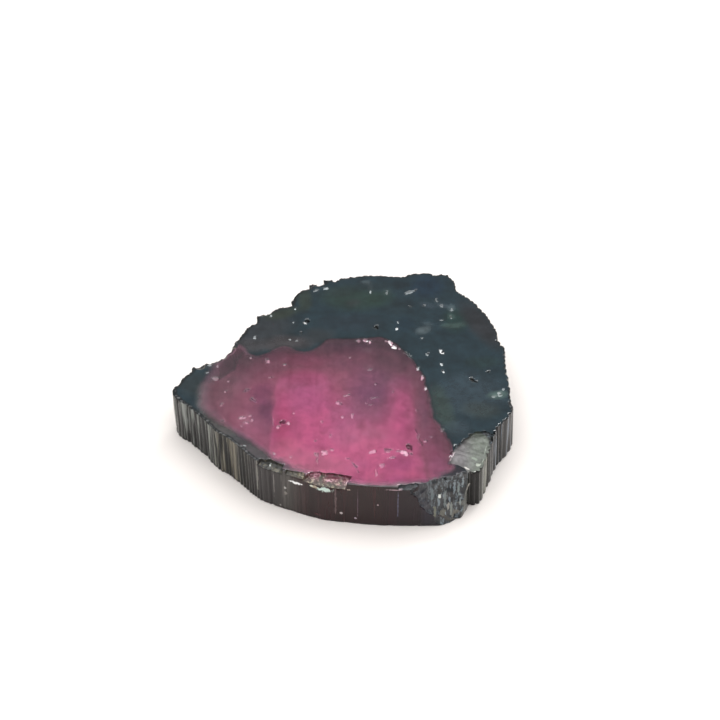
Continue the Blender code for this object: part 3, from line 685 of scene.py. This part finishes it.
def polishedTourmaline():
    # Tourmaline (elbaite), lapped and polished on its sawn faces. The polish gives a clear glassy
    # top with fine scratches. Transmission, base colour and IOR make it see-through, rose in the
    # heart and dark in the rim.
    material, add, place = newMaterial("polishedTourmaline")
    pit, tone, edge, heart, rose, window = (
        add("Attribute", result="Fac", attribute_name=name)
        for name in ("pit", "tone", "edge", "heart", "rose", "window"))
    rimTint, heartTint, windowTint = (
        add("Attribute", result="Color", attribute_name=name + "Tint")
        for name in ("rim", "heart", "window"))

    # pink, brighter in the window, with soft growth streaks about 0.6 mm apart running to the front
    inWindow = add("MapRange", {"Value": window, "From Min": -1, "From Max": 1}, **eased)
    pink = add("Mix", {0: inWindow, 6: heartTint, 7: windowTint}, **mixed)
    along = add("Mapping", {"Vector": place, "Scale": (1, 0.12, 0.12)})
    streaks = add("TexNoise", {"Vector": along, "Scale": 1.6, "Detail": 3, "Roughness": 0.6})
    # mottling 0.2 to 2 mm across, as healed fractures and tiny bubbles give
    mottle = add("TexNoise", {"Vector": place, "Scale": 0.9, "Detail": 6, "Roughness": 0.66})
    uneven = add("Math", {0: mottle, 1: 2.2, 2: streaks}, operation="MULTIPLY_ADD")
    shade = add("MapRange", {"Value": uneven, "From Min": 1.15, "From Max": 2.05,
                             "To Min": 0.76, "To Max": 1.25})
    pink = add("VectorMath", {0: pink, "Scale": shade}, operation="SCALE")
    rimPatches = add("MapRange", {"Value": mottle, "From Min": 0.35, "From Max": 0.65,
                                  "To Min": 0.72, "To Max": 1.28})
    dark = add("VectorMath", {0: rimTint, "Scale": rimPatches}, operation="SCALE")
    inner = add("MapRange", {"Value": rose, "From Min": -0.5, "From Max": 1.5}, **eased)
    colour = add("Mix", {0: inner, 6: dark, 7: pink}, **mixed)

    # crushed pits are white, the whitest of them a painted highlight standing in for glints; dark pits carry
    # painted shade down to their floor
    crushedAndGlint = add("Math", {0: tone, 1: 0}, operation="MAXIMUM")
    crushedAndGlint = add("Math", {0: crushedAndGlint, 1: 1.2}, operation="POWER")
    crushedAndGlint = add("Math", {0: crushedAndGlint, 1: pit}, operation="MULTIPLY", use_clamp=True)
    pitShade = add("Math", {0: tone, 1: -1}, operation="MULTIPLY")
    pitShade = add("Math", {0: pitShade, 1: pit}, operation="MULTIPLY", use_clamp=True)
    crushed = add("Mix", {0: inner, 6: "#E4ECEE", 7: "#F6C6D8"}, **mixed)
    pitShadeColour = add("Mix", {0: inner, 6: "#06090A", 7: "#4E0A26"}, **mixed)
    # the whitest pits turn pure white, as painted glints
    brightestGlint = add("MapRange", {"Value": tone, "From Min": 0.74, "From Max": 0.86})
    crushed = add("Mix", {0: brightestGlint, 6: crushed, 7: "#FFFFFF"}, **mixed)
    colour = add("Mix", {0: crushedAndGlint, 6: colour, 7: crushed}, **mixed)
    colour = add("Mix", {0: pitShade, 6: colour, 7: pitShadeColour}, **mixed)
    # painted shade: a thin dark line round the polished face, where its edge looks dark
    edgeShade = add("MapRange", {"Value": edge, "From Min": 0.22, "From Max": 0.06, "To Max": 0.85}, **eased)
    colour = add("Mix", {0: edgeShade, 6: colour, 7: "#0B0F11"}, **mixed)

    # clear in the heart, nearly opaque in the rim, opaque where crushed, in dark pits and under the painted
    # edge shade
    clear = add("MapRange", {"Value": heart, "From Min": -1.6, "From Max": 0.6,
                             "To Min": 0.12, "To Max": 0.9}, **eased)
    marked = add("Math", {0: crushedAndGlint, 1: pitShade}, operation="ADD", use_clamp=True)
    marked = add("Math", {0: marked, 1: edgeShade}, operation="MAXIMUM")
    unmarked = add("Math", {0: 1, 1: marked}, operation="SUBTRACT")
    clear = add("Math", {0: clear, 1: unmarked}, operation="MULTIPLY")
    wear = add("MapRange", {"Value": mottle, "From Min": 0.3, "From Max": 0.7,
                            "To Min": 0.07, "To Max": 0.15})
    roughness = add("Math", {0: pit, 1: 0.35, 2: wear}, operation="MULTIPLY_ADD")

    # fine scratches in the polish, about 0.1 mm apart
    turned = add("Mapping", {"Vector": place, "Rotation": (0, 0, 0.6), "Scale": (9, 0.5, 1)})
    scratches = add("TexNoise", {"Vector": turned, "Scale": 1, "Detail": 2})
    bump = add("Bump", {"Height": scratches, "Strength": 0.4, "Distance": 0.004 * mm})
    shader = add("BsdfPrincipled", {"Base Color": colour, "Roughness": roughness, "IOR": 1.63,
                                    "Transmission Weight": clear, "Normal": bump})
    add("OutputMaterial", {"Surface": shader})
    return material


def grownTourmaline():
    # The sides, left as the crystal grew: a dark skin, satin where ribbed and smoother in front.
    # Ribs are painted lighter along their crests as a painted highlight, and nearly black between them as
    # painted shade.
    material, add, place = newMaterial("grownTourmaline")
    rib = add("Attribute", result="Fac", attribute_name="rib")
    tint = add("Attribute", result="Color", attribute_name="sidesTint")
    # ribs about 0.4 mm wide, with hairlines of 0.1 mm on them
    upright = add("Mapping", {"Vector": place, "Scale": (1, 1, 0.05)})
    wide = add("TexNoise", {"Vector": upright, "Scale": 1.7, "Detail": 2})
    hairs = add("TexNoise", {"Vector": upright, "Scale": 5.5, "Detail": 3, "Roughness": 0.6})
    across, forward, height = (add("SeparateXYZ", {0: place}, axis) for axis in "XYZ")
    fromLeft = add("MapRange", {"Value": across, "From Min": -8.2, "From Max": -5.4}, **eased)
    fromBack = add("MapRange", {"Value": forward, "From Min": -8.2, "From Max": -9.8}, **eased)
    front = add("Math", {0: fromLeft, 1: fromBack}, operation="MULTIPLY")
    crest = add("Math", {0: rib, 1: 0.22, 2: wide}, operation="MULTIPLY_ADD")
    crest = add("Math", {0: hairs, 1: 0.45, 2: crest}, operation="MULTIPLY_ADD")
    fromRight = add("MapRange", {"Value": across, "From Min": 10.8, "From Max": 11.6, "To Max": 0.07})
    crest = add("Math", {0: crest, 1: fromRight}, operation="SUBTRACT")
    # painted highlight: the crests take the sides' tint; painted shade: the grooves stay near black (#0B0D0C)
    pale = add("MapRange", {"Value": crest, "From Min": 0.66, "From Max": 0.92}, **eased)
    flat = add("Math", {0: front, 1: 0.7}, operation="MULTIPLY")
    pale = add("Math", {0: pale, 1: flat}, operation="MAXIMUM")
    skinAndPaintedRibLight = add("Mix", {0: pale, 6: "#0B0D0C", 7: tint}, **mixed)
    shade = add("MapRange", {"Value": hairs, "From Min": 0.3, "From Max": 0.7, "To Min": 0.7, "To Max": 1.25})
    skinAndPaintedRibLight = add("VectorMath", {0: skinAndPaintedRibLight, "Scale": shade}, operation="SCALE")
    skinAndPaintedRibLight = addMarks(add, place, skinAndPaintedRibLight)
    # painted shade along the foot of the sides, darker towards the floor
    footShade = add("MapRange", {"Value": height, "From Max": 0.22, "To Min": 0.25})   # darker
    skinAndPaintedRibLight = add("VectorMath", {0: skinAndPaintedRibLight, "Scale": footShade}, operation="SCALE")
    roughness = add("MapRange", {"Value": wide, "From Min": 0.3, "From Max": 0.7,
                                 "To Min": 0.16, "To Max": 0.32})
    bump = add("Bump", {"Height": hairs, "Strength": 0.5, "Distance": 0.02 * mm})
    shader = add("BsdfPrincipled", {"Base Color": skinAndPaintedRibLight, "Roughness": roughness, "IOR": 1.63,
                                    "Specular IOR Level": 0.25, "Normal": bump})
    add("OutputMaterial", {"Surface": shader})
    return material


def brokenTourmaline():
    # Fresh breaks: gritty and frosted, pale over the scar, slate with crushed specks at the corner
    # and olive in the flakes, because the light goes a little way in and comes back.
    material, add, place = newMaterial("brokenTourmaline")
    scar = add("Attribute", result="Fac", attribute_name="scar")
    tint = add("Attribute", result="Color", attribute_name="breaksTint")
    across, forward, height = (add("SeparateXYZ", {0: place}, axis) for axis in "XYZ")
    # crushed specks and splinters 0.1 to 0.2 mm across, drawn out downwards
    drawn = add("Mapping", {"Vector": place, "Scale": (1, 1, 0.22)})
    specks = add("TexNoise", {"Vector": drawn, "Scale": 4.4, "Detail": 4, "Roughness": 0.66})
    crushed = add("MapRange", {"Value": specks, "From Min": 0.5, "From Max": 0.64}, **eased)
    toRight = add("MapRange", {"Value": across, "From Min": 2.6, "From Max": 3.4})
    behind = add("MapRange", {"Value": forward, "From Min": -8, "From Max": -6, "To Max": 0.6})
    besideCorner = add("MapRange", {"Value": across, "From Min": 7.4, "From Max": 6, "To Max": 0.7})
    besideCorner = add("Math", {0: besideCorner, 1: toRight}, operation="MULTIPLY")
    atLeft = add("MapRange", {"Value": across, "From Min": -2.9, "From Max": -3.6, "To Max": 0.6})
    # no specks behind the scar, beside the corner or at the left end of the flakes
    quiet = add("Math", {0: behind, 1: besideCorner}, operation="MAXIMUM")
    quiet = add("Math", {0: quiet, 1: atLeft}, operation="MAXIMUM")
    quiet = add("Math", {0: 1, 1: quiet}, operation="SUBTRACT")
    crushed = add("Math", {0: crushed, 1: quiet}, operation="MULTIPLY")
    pale = add("Mix", {0: toRight, 6: "#9A9078", 7: "#7F8B92"}, **mixed)
    rough = add("Mix", {0: crushed, 6: tint, 7: pale}, **mixed)
    # pink shows through the upper part of the flakes, in patches 0.5 mm across
    patches = add("TexNoise", {"Vector": place, "Scale": 2.2, "Detail": 3, "Roughness": 0.6})
    upper = add("MapRange", {"Value": height, "From Min": 3.36, "From Max": 3.64})
    for elsewhere in (toRight, behind):
        upper = add("Math", {0: upper, 1: elsewhere}, operation="SUBTRACT", use_clamp=True)
    besideLeft = add("MapRange", {"Value": across, "From Min": -2.9, "From Max": -2.1})
    upper = add("Math", {0: upper, 1: besideLeft}, operation="MULTIPLY")
    pinkish = add("MapRange", {"Value": patches, "From Min": 0.34, "From Max": 0.52})
    pinkish = add("Math", {0: pinkish, 1: upper}, operation="MULTIPLY")
    rose = add("Mix", {0: crushed, 6: "#7A3048", 7: "#C98DA0"}, **mixed)
    rough = add("Mix", {0: pinkish, 6: rough, 7: rose}, **mixed)
    # painted shadow: a dark red line along the back edge of the flakes, at their step
    backEdgeShadow = add("MapRange", {"Value": height, "From Min": 3.72, "From Max": 3.84})
    backEdgeShadow = add("Math", {0: backEdgeShadow, 1: pinkish}, operation="MULTIPLY")
    rough = add("Mix", {0: backEdgeShadow, 6: rough, 7: "#4A0A20"}, **mixed)
    green = add("MapRange", {"Value": across, "From Min": 8.6, "From Max": 10}, **eased)
    frost = add("Mix", {0: green, 6: "#686466", 7: "#5D645A"}, **mixed)
    brighter = add("MapRange", {"Value": patches, "From Min": 0.3, "From Max": 0.7,
                                "To Min": 0.55, "To Max": 1.3})
    frost = add("VectorMath", {0: frost, "Scale": brighter}, operation="SCALE")
    inScar = add("MapRange", {"Value": scar, "From Min": -2, "From Max": 0}, **eased)
    colour = add("Mix", {0: inScar, 6: rough, 7: frost}, **mixed)
    colour = addMarks(add, place, colour)
    roughness = add("MapRange", {"Value": specks, "To Min": 0.24, "To Max": 0.5})
    bump = add("Bump", {"Height": specks, "Strength": 0.6, "Distance": 0.08 * mm})
    shader = add("BsdfPrincipled", {"Base Color": colour, "Roughness": roughness, "IOR": 1.63,
                                    "Normal": bump})
    add("OutputMaterial", {"Surface": shader})
    return material


def makeSlab():
    work, ring = finerSlab()
    piece = newPiece("tourmalineSlice", work)
    sinkPits(piece)
    piece.data.materials.clear()        # the cuts leave an empty slot
    for material in (polishedTourmaline(), grownTourmaline(), brokenTourmaline()):
        piece.data.materials.append(material)
    paintZones(piece.data, ring)
    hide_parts(slab["node"])
    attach(piece, "root")
    print("slab finished in three materials")


floor = {
    "halfSide": 1000,     # mm
    "drop": 0.03,           # mm below the slab, so that the two faces don't fight
    "colour": "#F6F0EC",
}


def matteAcrylic():
    # Sheet acrylic with a sanded face: even and pale, with almost no shine, so only soft shadows show.
    material, add, place = newMaterial("sandedAcrylic")
    grain = add("TexNoise", {"Vector": place, "Scale": 2, "Detail": 2})
    roughness = add("MapRange", {"Value": grain, "To Min": 0.65, "To Max": 0.75})
    shader = add("BsdfPrincipled", {"Base Color": floor["colour"], "Roughness": roughness,
                                    "Specular IOR Level": 0.1})
    add("OutputMaterial", {"Surface": shader})
    return material


def makeFloor():
    work = bmesh.new()
    bmesh.ops.create_grid(work, x_segments=1, y_segments=1, size=floor["halfSide"] * mm)
    bmesh.ops.translate(work, verts=work.verts, vec=(0, 0, -floor["drop"] * mm))
    sheet = newPiece("floor", work)
    sheet.data.materials.append(matteAcrylic())
    print("floor laid")


# A soft room: a dim wall all round, a bright ring of softboxes overhead, and one small lamp behind
# on the right for sparkle. Heights are degrees above the horizon.
light = {
    "wall": 0.36, "ring": 2.85, "ceiling": 0.6,
    "ringLow": 48, "ringHigh": 76, "fade": 7,
    "lampPlace": (150, 260, 380), "lampSize": 60, "lampWatts": 0.3,     # mm
}


def lightRoom():
    world = bpy.data.worlds.new("softRoom")
    world.use_nodes = True
    tree = world.node_tree
    tree.nodes.clear()
    way = addNode(tree, "TexCoord", result="Generated")
    height = addNode(tree, "SeparateXYZ", {0: way}, "Z")
    ramp = addNode(tree, "ValToRGB", {"Fac": height})
    levels = [(0.0, "wall"), (light["ringLow"], "wall"), (light["ringLow"] + light["fade"], "ring"),
              (light["ringHigh"], "ring"), (light["ringHigh"] + light["fade"], "ceiling")]
    stops = ramp.node.color_ramp.elements
    while len(stops) < len(levels):
        stops.new(0.5)
    for stop, (angle, level) in zip(stops, levels):
        stop.position = math.sin(math.radians(angle))
        stop.color = [light[level] / light["ring"]] * 3 + [1.0]
    back = addNode(tree, "Background", {"Color": ramp, "Strength": light["ring"]})
    addNode(tree, "OutputWorld", {"Surface": back})
    bpy.context.scene.world = world
    lampLight = bpy.data.lights.new("lamp", "AREA")
    lampLight.size = light["lampSize"] * mm
    lampLight.energy = light["lampWatts"]
    place = Vector(light["lampPlace"]) * mm
    newObject("lamp", lampLight, place, -place)
    print("room lit")


camera = {
    "target": (1.28, 6.25, 0), "distance": 158.7, "nearest": 1, "furthest": 5000,     # mm
    "elevation": 40,      # degrees
    "lens": 97.9, "sensor": 36,
}


def placeCamera():
    data = bpy.data.cameras.new("camera")
    data.lens = camera["lens"]
    data.sensor_width = camera["sensor"]
    data.clip_start, data.clip_end = camera["nearest"] * mm, camera["furthest"] * mm
    tilt = math.radians(camera["elevation"])
    back = Vector((0, -math.cos(tilt), math.sin(tilt)))
    place = (Vector(camera["target"]) + back * camera["distance"]) * mm
    bpy.context.scene.camera = newObject("camera", data, place, -back)
    print("camera placed")


placeCamera()
lightRoom()
makeFloor()
makeSlab()
bpy.context.scene.view_settings.view_transform = "Standard"

bpy.context.view_layer.update()
